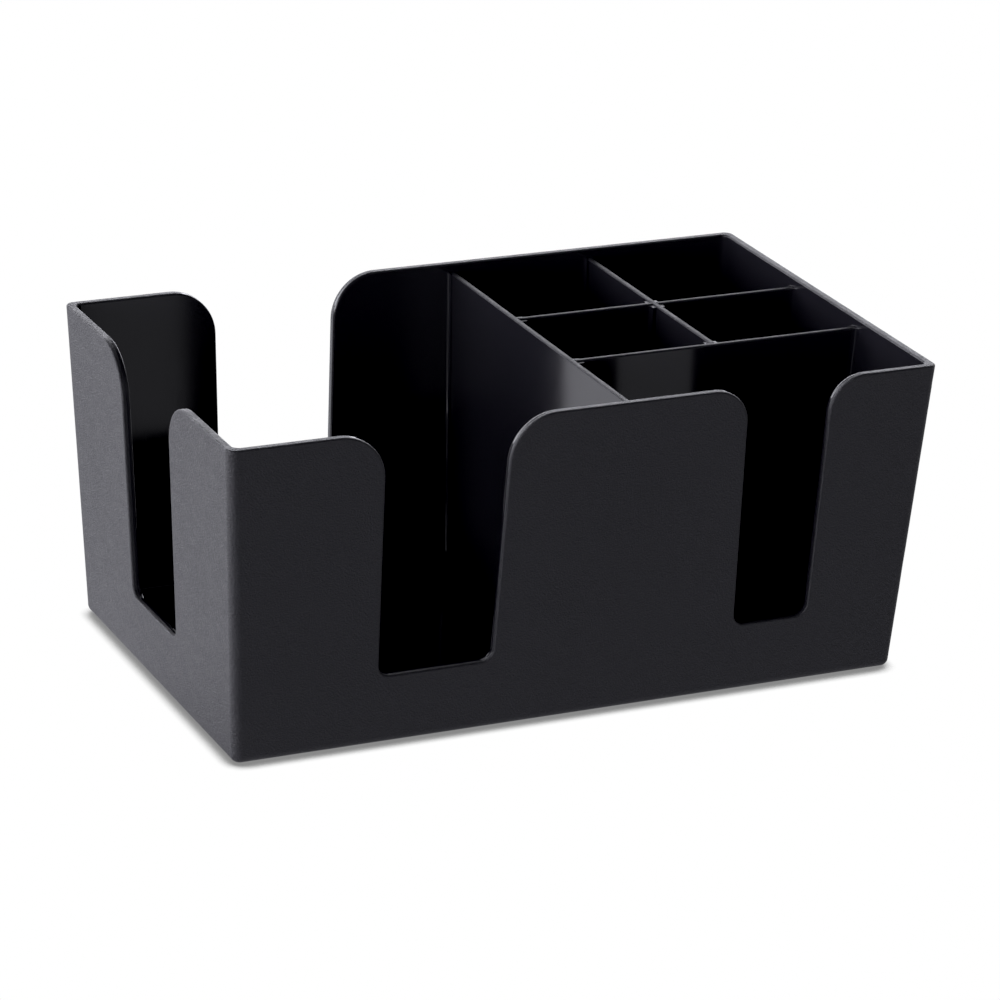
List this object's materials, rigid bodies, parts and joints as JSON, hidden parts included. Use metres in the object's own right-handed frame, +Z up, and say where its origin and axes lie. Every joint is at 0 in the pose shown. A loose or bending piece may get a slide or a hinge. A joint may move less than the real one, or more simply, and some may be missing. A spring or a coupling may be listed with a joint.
{
  "type": "bar caddy",
  "caption": "Open-topped counter caddy for folded cocktail napkins and straws: drafted plastic tub with finger slots, lift-out dividers and rubber feet.",
  "frame": {"origin": "on the counter, under the centre of the caddy", "axes": "+X along the length towards the pocket end, -Y towards the user, +Z up"},
  "size_m": [0.242, 0.145, 0.1064],
  "materials": {
    "textured_black_plastic": "fine spark-eroded grain outside, smooth inside",
    "smooth_black_plastic": "smooth semi-gloss",
    "black_rubber": "matt"
  },
  "bodies": {
    "tub": {"tub": "textured_black_plastic", "foot_front_left": "black_rubber", "foot_front_right": "black_rubber", "foot_rear_left": "black_rubber", "foot_rear_right": "black_rubber"},
    "napkin_bay_divider": {"napkin_bay_divider": "smooth_black_plastic"},
    "rear_divider": {"rear_divider": "smooth_black_plastic"},
    "front_divider": {"front_divider": "smooth_black_plastic"},
    "cross_divider": {"cross_divider": "smooth_black_plastic"}
  },
  "joints": [
    {"name": "lift_napkin_bay_divider", "type": "slide", "parent": "tub", "child": "napkin_bay_divider", "axis": [0, 0, 1], "range_m": [0, 0.11]},
    {"name": "lift_rear_divider", "type": "slide", "parent": "tub", "child": "rear_divider", "axis": [0, 0, 1], "range_m": [0, 0.11]},
    {"name": "lift_front_divider", "type": "slide", "parent": "tub", "child": "front_divider", "axis": [0, 0, 1], "range_m": [0, 0.11]},
    {"name": "lift_cross_divider", "type": "slide", "parent": "rear_divider", "child": "cross_divider", "axis": [0, 0, 1], "range_m": [0, 0.11]}
  ]
}
